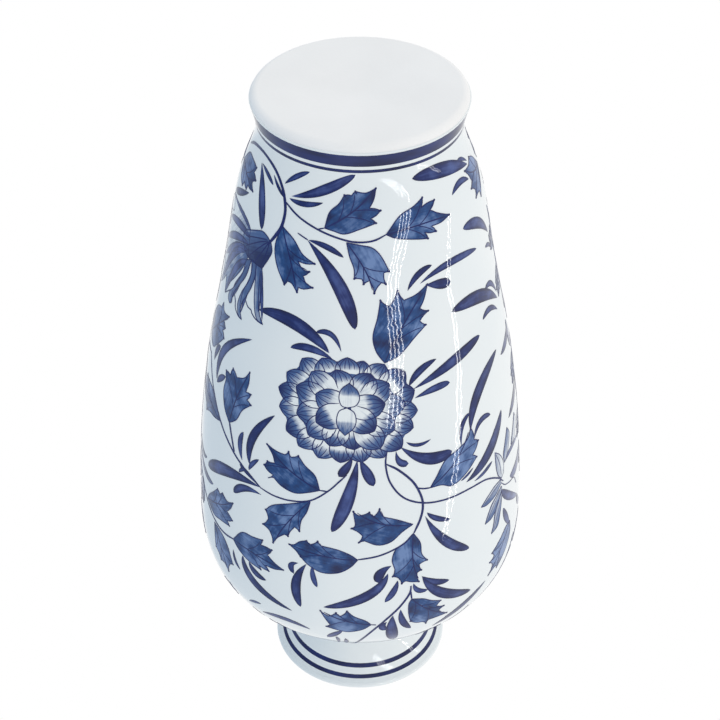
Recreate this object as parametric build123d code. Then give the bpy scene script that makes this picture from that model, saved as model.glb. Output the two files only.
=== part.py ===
"""A baluster vase of glazed pottery: four clay sections luted with slip, glazed and banded in cobalt.

The vase stands upright on its base. The origin is the middle of the base's resting plane, and +Z runs up
the axis of revolution through the mouth. Every piece is a solid of revolution about Z, drawn as a section
with X as the radius and Y as the height. All sizes are in millimetres.
"""

from build123d import *
import os

# Outside of the finished vase, over the glaze.
HEIGHT = 305.0
BASE_RADIUS = 44.4  # where the wall would meet the resting plane, but for the round edge
WAIST_RADIUS, WAIST_Z = 41.3, 15.5
BELLY_RADIUS, BELLY_Z = 73.2, 206.0
NECK_RADIUS, NECK_Z = 31.0, 281.0
LIP_RADIUS = 40.9

# Points that the outside passes through on its way up between those.
FOOT_POINT = (42.9, 5.5)
BODY_POINTS = [(45.7, 30.0), (54.6, 70.0), (62.8, 112.0), (69.5, 156.0)]
SHOULDER_POINTS = [(70.2, 236.5), (59.8, 252.0), (43.2, 264.0), (34.2, 272.5)]
NECK_POINTS = [(31.8, 288.0), (34.3, 295.0), (37.1, 299.8)]
LIP_FLARE = (0.89, 0.456)  # direction, in radius and height, in which the neck runs out into the lip

# Walls.
WALL = 5.0  # with the glaze on both sides of it
LIP_THICKNESS = 3.2
THINNING_Z = 275.0  # the wall thins evenly from here up to the lip
FLOOR_TOP_Z = 8.5
GLAZE = 0.4
GLAZE_START_Z = 3.0  # wiped off below this, so that the base doesn't stick to the kiln shelf

# Bands of cobalt paint that run right round, sunk flush in the outer glaze: the lowest and highest point
# of each.
PAINT = 0.15
BANDS = {
    "foot_band": (4.1, 9.8),
    "foot_line": (11.4, 12.9),
    "neck_line": (294.5, 296.6),
    "lip_line": (299.4, 300.8),
}

# Underside of the base: a flat resting ring round a shallow dish. The ring's outer edge is rounded as far
# as the glaze.
DISH_RADIUS = 33.0
DISH_DEPTH = 1.5
EDGE_ROUND = GLAZE_START_Z

# Joints between the sections. The foot's is flat. In the others the lower section has a ridge inside,
# which the next section sits round.
SLIP = 0.5
RIDGE = 2.5
FOOT_JOINT_Z = 4.0
LAPPED_JOINTS_Z = [150.0, 274.0]

# Where the outside meets the half circle over the lip.
LIP_START = (
    LIP_RADIUS - LIP_THICKNESS * (1 - LIP_FLARE[1]) / 2,
    HEIGHT - LIP_THICKNESS * (1 + LIP_FLARE[0]) / 2,
)

OUTLINE_STEPS = 80
BEYOND = 2 * HEIGHT  # further out, up or down than any part of the vase


def outside():
    """The outside of the vase from the base to the start of the lip's round."""
    return Spline(
        (BASE_RADIUS, 0),
        FOOT_POINT,
        (WAIST_RADIUS, WAIST_Z),
        *BODY_POINTS,
        (BELLY_RADIUS, BELLY_Z),
        *SHOULDER_POINTS,
        (NECK_RADIUS, NECK_Z),
        *NECK_POINTS,
        LIP_START,
    )


def wall_at(z):
    """Thickness of the wall at a height."""
    share = max(0, (z - THINNING_Z) / (LIP_START[1] - THINNING_Z))
    return WALL + (LIP_THICKNESS - WALL) * share


def moved_in(depth_at):
    """The outside moved in along its normal by depth_at(z)."""
    curve = outside()
    points = []
    for step in range(OUTLINE_STEPS + 1):
        place, along = curve @ (step / OUTLINE_STEPS), curve % (step / OUTLINE_STEPS)
        depth = depth_at(place.Y)
        points.append((place.X - depth * along.Y, place.Y + depth * along.X))
    return Spline(*points)


def lip_round(outer, inner):
    """The half circle over the lip that joins the tops of two outlines."""
    start, end = outer @ 1, inner @ 1
    crown = (start + end) / 2 + (outer % 1) * ((start - end).length / 2)
    return ThreePointArc(start, crown, end)


def area(*edges):
    """The area inside a ring of edges."""
    return make_face(Wire(list(edges)))


def filled(outline, *top):
    """The area from an outline in to the axis, with any further edges that lead on from its top."""
    low = (outline @ 0).Y
    end = (top[-1] if top else outline) @ 1
    return area(
        outline,
        *top,
        Line(end, (0, end.Y)),
        Line((0, end.Y), (0, low)),
        Line((0, low), outline @ 0),
    )


def between(low, high):
    """The area between two lines that run in from far out to the axis."""
    return make_face(Polyline(*low, *high[::-1], close=True))


def level(z):
    """A level line from far out to the axis."""
    return [(BEYOND, z), (0, z)]


def above(z):
    """Everything higher than a height."""
    return between(level(z), level(BEYOND))


OUTSIDE = moved_in(lambda z: 0)
PAINT_INSIDE = moved_in(lambda z: PAINT)
CLAY_OUTSIDE = moved_in(lambda z: GLAZE)
CLAY_INSIDE = moved_in(lambda z: wall_at(z) - GLAZE)
INSIDE = moved_in(wall_at)
CLAY_FLOOR_Z = FLOOR_TOP_Z - GLAZE


def radius_at(outline, z):
    """Radius of an outline at a height, found by halving the stretch that the height lies in."""
    low, high = 0.0, 1.0
    for _ in range(50):
        middle = (low + high) / 2
        if (outline @ middle).Y < z:
            low = middle
        else:
            high = middle
    return (outline @ low).X


def edge_corner():
    """What the round edge of the base leaves out of the corner between the resting plane and the wall."""
    radius = radius_at(CLAY_OUTSIDE, EDGE_ROUND)
    bottom, side = (radius - EDGE_ROUND, 0), (radius, EDGE_ROUND)
    depth = EDGE_ROUND * (1 - 0.5**0.5)
    return area(
        ThreePointArc(bottom, (radius - depth, depth), side),
        Line(side, (BEYOND, EDGE_ROUND)),
        Line((BEYOND, EDGE_ROUND), (BEYOND, 0)),
        Line((BEYOND, 0), bottom),
    )


def clay_section():
    """All the clay: floor, wall and rounded lip, with a round edge and a dish under the base."""
    whole = filled(CLAY_OUTSIDE, lip_round(CLAY_OUTSIDE, CLAY_INSIDE)) & above(0)
    cavity = filled(CLAY_INSIDE) & above(CLAY_FLOOR_Z)
    dish = area(
        Spline((0, DISH_DEPTH), (DISH_RADIUS, 0), tangents=((1, 0), (1, 0))),
        Line((DISH_RADIUS, 0), (0, 0)),
        Line((0, 0), (0, DISH_DEPTH)),
    )
    return whole - cavity - edge_corner() - dish


def band_section(low, high):
    """One painted band, from the outside of the glaze in to the paint's own depth."""
    skin = area(
        OUTSIDE,
        Line(OUTSIDE @ 1, PAINT_INSIDE @ 1),
        PAINT_INSIDE,
        Line(PAINT_INSIDE @ 0, OUTSIDE @ 0),
    )
    return skin & between(level(low), level(high))


def outer_glaze_section():
    """The coat over the outside and round the lip to its inner side, less the painted bands."""
    coat = area(
        OUTSIDE,
        lip_round(OUTSIDE, INSIDE),
        Line(INSIDE @ 1, CLAY_INSIDE @ 1),
        lip_round(CLAY_OUTSIDE, CLAY_INSIDE),
        CLAY_OUTSIDE,
        Line(CLAY_OUTSIDE @ 0, OUTSIDE @ 0),
    )
    for low, high in BANDS.values():
        coat -= band_section(low, high)
    return coat & above(GLAZE_START_Z)


def inner_glaze_section():
    """The lining that holds the water, over the floor and up the wall to the lip."""
    strip = area(
        CLAY_INSIDE,
        Line(CLAY_INSIDE @ 1, INSIDE @ 1),
        INSIDE,
        Line(INSIDE @ 0, CLAY_INSIDE @ 0),
    )
    floor = filled(CLAY_INSIDE) & between(level(CLAY_FLOOR_Z), level(FLOOR_TOP_Z))
    return (strip & above(CLAY_FLOOR_Z)) + floor


def lapped(z, slip):
    """The stepped line of a lapped joint: level in through half the wall, up the ridge, and level on in.

    The lower section ends on the line with no slip, and the upper one starts on the line moved up and out
    by it.
    """
    heart = moved_in(lambda z: wall_at(z) / 2) & between(level(z), level(z + RIDGE))
    radius = (heart @ 0).X + slip
    return [(BEYOND, z + slip), (radius, z + slip), (radius, z + RIDGE + slip), (0, z + RIDGE + slip)]


def sections():
    """Every piece's name and section, from the base up."""
    clay = clay_section()
    edges = [level(-1), level(FOOT_JOINT_Z), level(FOOT_JOINT_Z + SLIP)]
    for z in LAPPED_JOINTS_Z:
        edges += [lapped(z, 0), lapped(z, SLIP)]
    edges.append(level(BEYOND))
    names = ["foot_disc", "foot_slip", "lower_body", "body_slip", "upper_body", "neck_slip", "neck_collar"]
    pieces = {}
    for name, low, high in zip(names, edges, edges[1:]):
        pieces[name] = clay & between(low, high)
    pieces["outer_glaze"] = outer_glaze_section()
    pieces["inner_glaze"] = inner_glaze_section()
    for name, (low, high) in BANDS.items():
        pieces[name] = band_section(low, high)
    return pieces


os.makedirs("parts", exist_ok=True)
for name, section in sections().items():
    export_step(revolve(Plane.XZ * section, Axis.Z, 360), f"parts/{name}.step")
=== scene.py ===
"""The looks of the vase: glaze, bare clay and hand-painted decoration, with studio, camera and floor.

Places on the vase are given as an angle in degrees round it and a height in millimetres. Angle 0 faces
-Y, the front, and it grows towards +X. Every painted stroke is a thin closed film on the glaze.
"""

import math
import random
from bisect import bisect_right

import bpy
from mathutils import Matrix, Vector
from mathutils.geometry import delaunay_2d_cdt


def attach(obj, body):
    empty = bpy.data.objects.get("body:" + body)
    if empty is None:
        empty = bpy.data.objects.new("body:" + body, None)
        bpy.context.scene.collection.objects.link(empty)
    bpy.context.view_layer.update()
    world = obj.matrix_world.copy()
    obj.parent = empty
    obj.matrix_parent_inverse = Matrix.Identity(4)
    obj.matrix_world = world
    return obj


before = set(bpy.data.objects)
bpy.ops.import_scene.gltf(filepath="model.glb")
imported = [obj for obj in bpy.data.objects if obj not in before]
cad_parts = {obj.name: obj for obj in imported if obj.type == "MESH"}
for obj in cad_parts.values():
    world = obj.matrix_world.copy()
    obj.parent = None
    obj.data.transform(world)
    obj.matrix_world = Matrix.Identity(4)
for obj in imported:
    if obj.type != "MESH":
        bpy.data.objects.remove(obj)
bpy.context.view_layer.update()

MM = 0.001
SEED = 7


# ---------- the vase's outside

BANDS = ("foot_band", "foot_line", "neck_line", "lip_line")
OUTLINE_TOP = 302


def seam_points(node):
    """Radius at each height, in millimetres, of a turned node's outside where its surface closes."""
    points = {}
    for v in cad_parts[node].data.vertices:
        if abs(v.co.y) < 1e-6 and v.co.x > 0 and v.normal.x > 0.3:
            height = round(v.co.z / MM, 2)
            points[height] = max(v.co.x / MM, points.get(height, 0))
    return points


def seam_outline():
    """(height, radius) up the vase's outside: the glaze's, and each band's where it lies in it."""
    outside = seam_points("outer_glaze")
    for band in BANDS:
        painted = seam_points(band)
        low, high = min(painted) - 0.05, max(painted) + 0.05
        outside = {z: r for z, r in outside.items() if not low < z < high} | painted
    return sorted((z, r) for z, r in outside.items() if z < OUTLINE_TOP)


OUTLINE = seam_outline()
OUTLINE_HEIGHTS = [z for z, r in OUTLINE]


def chord_slope(i):
    """Slope of the outline between its points i and i + 1."""
    (z0, r0), (z1, r1) = OUTLINE[i], OUTLINE[i + 1]
    return (r1 - r0) / (z1 - z0)


def slope_at_point(i):
    """Slope of the outline at its point i, from the stretches on both sides of it."""
    if i == 0:
        return chord_slope(0)
    if i == len(OUTLINE) - 1:
        return chord_slope(i - 1)
    before = OUTLINE_HEIGHTS[i] - OUTLINE_HEIGHTS[i - 1]
    after = OUTLINE_HEIGHTS[i + 1] - OUTLINE_HEIGHTS[i]
    return (chord_slope(i - 1) * after + chord_slope(i) * before) / (before + after)


SLOPES = [slope_at_point(i) for i in range(len(OUTLINE))]


def radius_and_slope(z):
    """Radius of the outside at a height, and how fast it grows with height."""
    i = min(max(bisect_right(OUTLINE_HEIGHTS, z) - 1, 0), len(OUTLINE) - 2)
    (z0, r0), (z1, r1) = OUTLINE[i], OUTLINE[i + 1]
    h = z1 - z0
    u = (z - z0) / h
    a, b = SLOPES[i] * h, SLOPES[i + 1] * h
    top = 3 * u**2 - 2 * u**3  # how much of the upper point's radius
    radius = (1 - top) * r0 + top * r1 + (u**3 - 2 * u**2 + u) * a + (u**3 - u**2) * b
    slope = ((6 * u**2 - 6 * u) * (r0 - r1) + (3 * u**2 - 4 * u + 1) * a + (3 * u**2 - 2 * u) * b) / h
    return radius, slope


def radius(z):
    return radius_and_slope(z)[0]


def on_vase(angle, z, lift):
    """The point in metres that lies lift millimetres off the glaze at an angle and a height."""
    r, slope = radius_and_slope(z)
    length = math.hypot(1, slope)
    out = r + lift / length
    turn = math.radians(angle)
    return Vector((out * math.sin(turn), -out * math.cos(turn), z - lift * slope / length)) * MM


# ---------- materials

CLAY_GRAIN = 0.00005  # metres
GLAZE_RIPPLE = 0.000018  # metres
GLAZE_ROUGHNESS = 0.04
GLAZE_IOR = 1.48
PAINT_IOR = 1.42


def set_inputs(node, **inputs):
    for name, value in inputs.items():
        node.inputs[name].default_value = value
    return node


class Nodes:
    """The node tree of a material or of the world, and ways to add to it."""

    def __init__(self, tree):
        self.nodes = tree.nodes
        self.link = tree.links.new

    def add(self, kind, **inputs):
        return set_inputs(self.nodes.new("ShaderNode" + kind), **inputs)

    def noise(self, scale, detail, stretch=(1, 1, 1)):
        """A noise texture in the object's own space; scale is per metre."""
        place = self.add("TexCoord")
        mapping = self.add("Mapping", Scale=stretch)
        texture = self.add("TexNoise", Scale=scale, Detail=detail)
        self.link(place.outputs["Object"], mapping.inputs["Vector"])
        self.link(mapping.outputs["Vector"], texture.inputs["Vector"])
        return texture.outputs["Fac"]

    def attribute(self, name):
        node = self.add("Attribute")
        node.attribute_name = name
        return node

    def ramp(self, value, stops):
        """Colours along a value: stops are (place, (r, g, b))."""
        node = self.add("ValToRGB")
        while len(node.color_ramp.elements) < len(stops):
            node.color_ramp.elements.new(0.5)
        for element, (place, colour) in zip(node.color_ramp.elements, stops):
            element.position = place
            element.color = (*colour, 1)
        self.link(value, node.inputs["Fac"])
        return node.outputs["Color"]

    def combine(self, operation, a, b):
        """The sum, difference or product of two values, each a number or another node's output."""
        node = self.add("Math")
        node.operation = operation
        for socket, value in zip(node.inputs, (a, b)):
            if isinstance(value, (int, float)):
                socket.default_value = value
            else:
                self.link(value, socket)
        return node.outputs["Value"]

    def around_zero(self, value, spread):
        """A noise value moved from around a half to around zero, and spread out."""
        return self.combine("MULTIPLY", self.combine("SUBTRACT", value, 0.5), spread)


class Look(Nodes):
    """A new material with a Principled shader."""

    def __init__(self, name):
        self.material = bpy.data.materials.new(name)
        self.material.use_nodes = True
        super().__init__(self.material.node_tree)
        self.shader = self.nodes["Principled BSDF"]

    def colour(self, value):
        """Let another node's output colour the material."""
        self.link(value, self.shader.inputs["Base Color"])

    def bump(self, value, strength, height):
        """Make the surface rise and fall with a value; height is in metres."""
        node = self.add("Bump", Strength=strength, Distance=height)
        self.link(value, node.inputs["Height"])
        self.link(node.outputs["Normal"], self.shader.inputs["Normal"])

    def gloss(self, ior):
        """The shine of poured glaze, and its slight waviness, which makes the long highlights wander."""
        set_inputs(self.shader, Roughness=GLAZE_ROUGHNESS, IOR=ior)
        fine = self.noise(380, 0.0)
        broad = self.noise(70, 1.0)
        self.bump(self.combine("ADD", fine, self.combine("MULTIPLY", broad, 2.0)), 1.0, GLAZE_RIPPLE)


def clouded_glaze(name, cloud, colours, ior):
    """Glossy, with a colour that drifts with a noise; cloud is its scale, detail and stretch."""
    look = Look(name)
    look.colour(look.ramp(look.noise(*cloud), colours))
    look.gloss(ior)
    return look.material


def bare_clay():
    """Fired white clay with no glaze: matte, with a fine grain."""
    look = Look("bare_clay")
    grain = look.noise(900, 3.0)
    cloud = look.noise(30, 2.0)
    both = look.combine("ADD", look.combine("MULTIPLY", grain, 0.3), cloud)
    look.colour(look.ramp(both, [(0.4, (0.86, 0.86, 0.855)), (0.9, (0.91, 0.91, 0.905))]))
    set_inputs(look.shader, Roughness=0.75)
    look.bump(grain, 0.4, CLAY_GRAIN)
    return look.material


def brushed_paint(name, pale, middle, dark, grain, blotches):
    """Cobalt under the glaze. Each stroke's shade runs from 0, thin and pale, to 1, full and dark.

    grain is how much the hairs of the brush show, and blotches how much the wash pools.
    """
    look = Look(name)
    brush = look.attribute("brush")
    shade = look.attribute("shade").outputs["Fac"]
    hair = look.add("TexNoise", Scale=1.0, Detail=2.0)
    look.link(brush.outputs["Vector"], hair.inputs["Vector"])
    streaks = look.around_zero(hair.outputs["Fac"], grain)
    pools = look.around_zero(look.noise(150, 3.0), blotches)
    value = look.combine("ADD", shade, look.combine("ADD", streaks, pools))
    look.colour(look.ramp(value, [(0.0, pale), (0.5, middle), (1.0, dark)]))
    look.gloss(PAINT_IOR)
    return look.material


WHITE = (0.79, 0.835, 0.85)
MATERIALS = {
    # Tin glaze: white, with a breath of blue where it is thicker.
    "glaze": clouded_glaze(
        "white_glaze", (22, 2.0), [(0.3, (0.775, 0.825, 0.845)), (0.7, (0.81, 0.85, 0.86))], GLAZE_IOR),
    # The full, dark cobalt of the bands turned on the wheel, with a few thin places.
    "band": clouded_glaze(
        "band_ink", (60, 3.0, (1, 1, 4)), [(0.35, (0.001, 0.005, 0.055)), (0.7, (0.006, 0.02, 0.14))],
        PAINT_IOR),
    "clay": bare_clay(),
    "leaf": brushed_paint(
        "leaf_wash", pale=(0.14, 0.23, 0.45), middle=(0.008, 0.058, 0.205), dark=(0.001, 0.010, 0.075),
        grain=0.6, blotches=2.2),
    "blade": brushed_paint(
        "blade_ink", pale=(0.06, 0.10, 0.30), middle=(0.003, 0.016, 0.120), dark=(0.001, 0.003, 0.045),
        grain=0.5, blotches=1.2),
    "petal": brushed_paint(
        "petal_wash", pale=WHITE, middle=(0.06, 0.125, 0.30), dark=(0.003, 0.014, 0.095),
        grain=0.45, blotches=0.5),
    "line": brushed_paint(
        "brush_line", pale=(0.03, 0.07, 0.26), middle=(0.002, 0.011, 0.115), dark=(0.001, 0.004, 0.06),
        grain=0.4, blotches=0.4),
}


# ---------- painting on the vase

UNDER = -0.06  # the underside of every film lies this far into the glaze
FILM = 0.09  # and the top of a plain wash this far over it
LINE_LIFT = 0.14
STEM_LIFT = 0.12
THINNEST = 0.03  # no stroke's half width is less
EDGE_CLEARANCE = 0.5  # how far a wash's inner points keep from its edge
SHARP_ANGLE = 35  # degrees between faces from which an edge is not smoothed
ARC_STEP = 0.5

# How fast the brush's grain changes along a stroke, across it, and from stroke to stroke.
GRAIN_ALONG, GRAIN_ACROSS, GRAIN_STEP = 0.09, 1.1, 3.7


def arc_table():
    """Distance along the outline, in millimetres, at every ARC_STEP of height."""
    table = [0.0]
    for i in range(int(OUTLINE_HEIGHTS[-1] / ARC_STEP)):
        slope = radius_and_slope((i + 0.5) * ARC_STEP)[1]
        table.append(table[-1] + ARC_STEP * math.hypot(1, slope))
    return table


ARCS = arc_table()


def arc_at(z):
    """Distance along the outline up to a height."""
    i = min(max(int(z / ARC_STEP), 0), len(ARCS) - 2)
    return ARCS[i] + (ARCS[i + 1] - ARCS[i]) * (z / ARC_STEP - i)


def height_at_arc(distance):
    """Height at a distance along the outline."""
    i = min(max(bisect_right(ARCS, distance) - 1, 0), len(ARCS) - 2)
    return (i + (distance - ARCS[i]) / (ARCS[i + 1] - ARCS[i])) * ARC_STEP


def add_object(name, data):
    thing = bpy.data.objects.new(name, data)
    bpy.context.scene.collection.objects.link(thing)
    return thing


class Patch:
    """A stretch of the vase laid flat, in millimetres, so that strokes keep their widths."""

    def __init__(self, places):
        low = min(z for angle, z in places)
        high = max(z for angle, z in places)
        self.angle = sum(angle for angle, z in places) / len(places)
        self.scale = math.radians(1) * radius((low + high) / 2)

    def flat(self, place):
        return Vector(((place[0] - self.angle) * self.scale, arc_at(place[1])))

    def on_glaze(self, p, lift):
        return on_vase(self.angle + p.x / self.scale, height_at_arc(p.y), lift)


def read_path(text, turn):
    """Places from text such as "12 40, ~15 42", each an angle and a height, moved round by a turn.

    Each comes with whether the path runs smoothly through it, which ~ marks.
    """
    path = []
    for word in text.split(","):
        angle, z = word.replace("~", " ").split()
        path.append(((float(angle) + turn, float(z)), "~" in word))
    return path


def on_spline(a, b, c, d, t):
    """The point at t, from 0 at b to 1 at c, of a smooth line through a, b, c and d."""
    linear = c - a
    square = 2 * a - 5 * b + 4 * c - d
    cubic = 3 * b - a - 3 * c + d
    return 0.5 * (2 * b + linear * t + square * t**2 + cubic * t**3)


def through(points, step=0.7):
    """A smooth line through points, at about a step in millimetres."""
    if len(points) == 2:
        count = max(1, round((points[1] - points[0]).length / step))
        return [points[0].lerp(points[1], i / count) for i in range(count + 1)]
    ends = [2 * points[0] - points[1], *points, 2 * points[-1] - points[-2]]
    line = [points[0].copy()]
    for a, b, c, d in zip(ends, ends[1:], ends[2:], ends[3:]):
        count = max(2, round((c - b).length / step))
        line += [on_spline(a, b, c, d, i / count) for i in range(1, count + 1)]
    return line


def quadratic(start, middle, end, step=1.0):
    """The even curve from start to end that passes the middle point half way."""
    control = 2 * middle - (start + end) / 2
    count = max(8, round(((middle - start).length + (end - middle).length) / step))
    shares = [i / count for i in range(count + 1)]
    return [(1 - t) ** 2 * start + 2 * t * (1 - t) * control + t**2 * end for t in shares]


def bowed(a, b, bow):
    """A line from a to b that bows to its right by a share of its length."""
    along = b - a
    return through([a, (a + b) / 2 + Vector((along.y, -along.x)) * bow, b])


def closed_line(patch, path, bow=0.0):
    """A closed path's flat outline and the numbers of its corners. Straight sides bow out by a share."""
    flat = [patch.flat(place) for place, smooth in path]
    corners = [i for i, (place, smooth) in enumerate(path) if not smooth]
    outline = []
    numbers = []
    for i, j in zip(corners, corners[1:] + [corners[0] + len(path)]):
        side = [flat[k % len(path)] for k in range(i, j + 1)]
        numbers.append(len(outline))
        outline += (bowed(*side, bow) if len(side) == 2 else through(side))[:-1]
    return outline, numbers


def pairs_round(points):
    """Each point of a closed line with the next one."""
    return zip(points, points[1:] + points[:1])


def signed_area(outline):
    return sum(a.x * b.y - b.x * a.y for a, b in pairs_round(outline)) / 2


def inside(outline, p):
    """Whether a flat point is inside an outline."""
    odd = False
    for a, b in pairs_round(outline):
        if (a.y > p.y) != (b.y > p.y) and p.x < a.x + (b.x - a.x) * (p.y - a.y) / (b.y - a.y):
            odd = not odd
    return odd


def grid_inside(outline, spacing):
    """Points in staggered rows inside an outline, and not right at its edge."""
    low_x, high_x = min(p.x for p in outline), max(p.x for p in outline)
    low_y, high_y = min(p.y for p in outline), max(p.y for p in outline)
    points = []
    for i in range(int((high_x - low_x) / spacing)):
        for j in range(int((high_y - low_y) / spacing)):
            step = Vector((i + 0.5 + 0.5 * (j % 2), j + 0.5)) * spacing
            p = Vector((low_x, low_y)) + step
            if inside(outline, p) and min((p - q).length for q in outline) > EDGE_CLEARANCE:
                points.append(p)
    return points


def across(direction):
    """The flat direction to the right of another."""
    return Vector((direction.y, -direction.x))


class Paint:
    """The strokes of one painted piece, on the stretch of the vase that its paths cover."""

    def __init__(self, *paths):
        self.patch = Patch([place for path in paths for place, smooth in path])
        self.seed = int(abs(self.patch.angle) * 7) % 23
        self.stroke = 0
        self.verts = []
        self.faces = []
        self.kinds = []
        self.shades = []
        self.brushes = []

    def vertex(self, p, lift, shade, along, aside):
        """A point of a film. Its distances along and across the stroke place the grain of the brush."""
        self.verts.append(self.patch.on_glaze(p, lift))
        self.shades.append(shade)
        self.brushes += [along * GRAIN_ALONG, aside * GRAIN_ACROSS, self.stroke * GRAIN_STEP + self.seed]
        return len(self.verts) - 1

    def face(self, *corners, kind):
        self.faces.append(corners)
        self.kinds.append(kind)

    def between(self, kind, row, next_row, i, j):
        """The face between two rows of points, from their places i to their places j."""
        self.face(row[i], row[j], next_row[j], next_row[i], kind=kind)

    def strip(self, kind, spine, half_width, lift, shade, columns=1):
        """A stroke along a flat spine: u runs along it from 0 to 1, and v across it from -1 to 1."""
        self.stroke += 1
        last = len(spine) - 1
        tops = []
        bottoms = []
        travelled = 0.0
        for i, p in enumerate(spine):
            u = i / last
            side = across(spine[min(i + 1, last)] - spine[max(i - 1, 0)]).normalized()
            travelled += (p - spine[i - 1]).length if i else 0.0
            wide = max(half_width(u), THINNEST)
            steps = [2 * j / columns - 1 for j in range(columns + 1)]
            for row, height in ((tops, lift), (bottoms, UNDER)):
                row.append([self.vertex(p + side * (wide * v), height, shade(u, v), travelled, wide * v)
                            for v in steps])
        for i in range(last):
            for j in range(columns):
                self.between(kind, tops[i], tops[i + 1], j, j + 1)
                self.between(kind, bottoms[i], bottoms[i + 1], j + 1, j)
            self.face(bottoms[i][0], tops[i][0], tops[i + 1][0], bottoms[i + 1][0], kind=kind)
            self.face(tops[i][-1], bottoms[i][-1], bottoms[i + 1][-1], tops[i + 1][-1], kind=kind)
        for j in range(columns):
            self.between(kind, bottoms[0], tops[0], j, j + 1)
            self.between(kind, tops[-1], bottoms[-1], j, j + 1)

    def line(self, spine, width, lift=LINE_LIFT, tone=0.6, ends=(0.35, 0.35)):
        """A thin dark line, thinner towards its ends by the shares in ends."""
        def half_width(u):
            return width / 2 * min(1, ends[0] + u * 5, ends[1] + (1 - u) * 5)

        self.strip("line", spine, half_width, lift, lambda u, v: tone)

    def loop(self, outline, width, lift=LINE_LIFT):
        """A thin dark line right round an outline."""
        self.line([*outline, outline[0], outline[1]], width, lift, ends=(1, 1))

    def wash(self, kind, outline, lift, shade, grain, spacing=2.2):
        """A filled area. shade(p) is for a flat point, and grain is the flat direction of the brush."""
        self.stroke += 1
        rim = [(i, (i + 1) % len(outline)) for i in range(len(outline))]
        points = [*outline, *grid_inside(outline, spacing)]
        flat, edges, faces = delaunay_2d_cdt(points, rim, [], 1, 1e-5)[:3]
        tops = [self.vertex(p, lift, shade(p), p.dot(grain), p.dot(across(grain))) for p in flat]
        bottoms = [self.vertex(p, UNDER, shade(p), p.dot(grain), p.dot(across(grain))) for p in flat]
        sides = set()
        for face in faces:
            ring = list(face)
            if signed_area([flat[i] for i in ring]) < 0:
                ring.reverse()
            self.face(*(tops[i] for i in ring), kind=kind)
            self.face(*(bottoms[i] for i in reversed(ring)), kind=kind)
            sides.update(pairs_round(ring))
        for a, b in sorted(sides):
            if (b, a) not in sides:
                self.face(tops[b], tops[a], bottoms[a], bottoms[b], kind=kind)

    def make(self, name):
        """The piece, riding on the vase."""
        mesh = bpy.data.meshes.new(name)
        mesh.from_pydata(self.verts, [], self.faces)
        kinds = sorted(set(self.kinds))
        for kind in kinds:
            mesh.materials.append(MATERIALS[kind])
        mesh.polygons.foreach_set("material_index", [kinds.index(kind) for kind in self.kinds])
        mesh.attributes.new("shade", "FLOAT", "POINT").data.foreach_set("value", self.shades)
        mesh.attributes.new("brush", "FLOAT_VECTOR", "POINT").data.foreach_set("vector", self.brushes)
        mesh.shade_smooth()
        mesh.set_sharp_from_angle(angle=math.radians(SHARP_ANGLE))
        piece = add_object(name, mesh)
        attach(piece, "root")


# ---------- blades, leaves and stems

LEAF_OUTLINE_WIDTH = 0.42
RIB_WIDTH = 0.55
VEIN_WIDTH = 0.36
TOOTH_BOW = 0.07  # how far a leaf's straight sides bow out, as a share of their length


def swell(u, peak, fullness=1.7):
    """A brush stroke's width along it, from 0 to 1, with its widest place at peak."""
    u = min(max(u, 0.0), 1.0)
    return (u / peak) ** (fullness * peak) * ((1 - u) / (1 - peak)) ** (fullness * (1 - peak))


def blade(paint, path, width, peak, tone):
    """One loaded stroke from its thin end to its far end, darker at its edges where the ink pooled."""
    spine = quadratic(*(paint.patch.flat(place) for place, smooth in path))

    def half_width(u):
        return width / 2 * swell(u, peak, 1.5)

    def shade(u, v):
        dark_edges = 0.42 * abs(v) ** 3
        thin_middle = 0.16 * (1 - v * v) * math.sin(math.pi * u)
        dark_end = 0.3 * max(0, u - 0.85)
        return tone + dark_edges - thin_middle + dark_end

    paint.strip("blade", spine, half_width, FILM, shade, columns=4)


def leaf_outline(patch, path):
    """A leaf's flat outline, counter-clockwise from its stalk, and the numbers of its corners."""
    outline, corners = closed_line(patch, path, TOOTH_BOW)
    if signed_area(outline) < 0:
        outline = [outline[0], *outline[:0:-1]]
        corners = [(len(outline) - corner) % len(outline) for corner in corners]
    return outline, corners


def is_tooth(outline, corner):
    """Whether the outline turns outwards at a corner."""
    before = outline[corner - 1] - outline[corner]
    after = outline[(corner + 1) % len(outline)] - outline[corner]
    return before.x * after.y - before.y * after.x < 0


def tooth_tip(paint, outline, corner):
    """The dab of dark paint on the point of a tooth."""
    tooth = outline[corner]
    behind = (outline[corner - 3] + outline[(corner + 3) % len(outline)]) / 2
    out = (tooth - behind).normalized()
    spine = through([tooth - out * 1.2, tooth, tooth + out * 0.5], 0.3)
    paint.strip("line", spine, lambda u: 0.45 * swell(u, 0.6), LINE_LIFT + 0.01, lambda u, v: 0.7)


def vein(paint, rib, share, tooth, tip):
    """A vein from a share of the way along the midrib towards a tooth, bent a little towards the tip."""
    root = rib[round(min(1, max(0, share)) * (len(rib) - 1))]
    end = root.lerp(tooth, 0.86)
    paint.line(quadratic(root, root.lerp(end, 0.5).lerp(tip, 0.06), end), VEIN_WIDTH)


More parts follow.
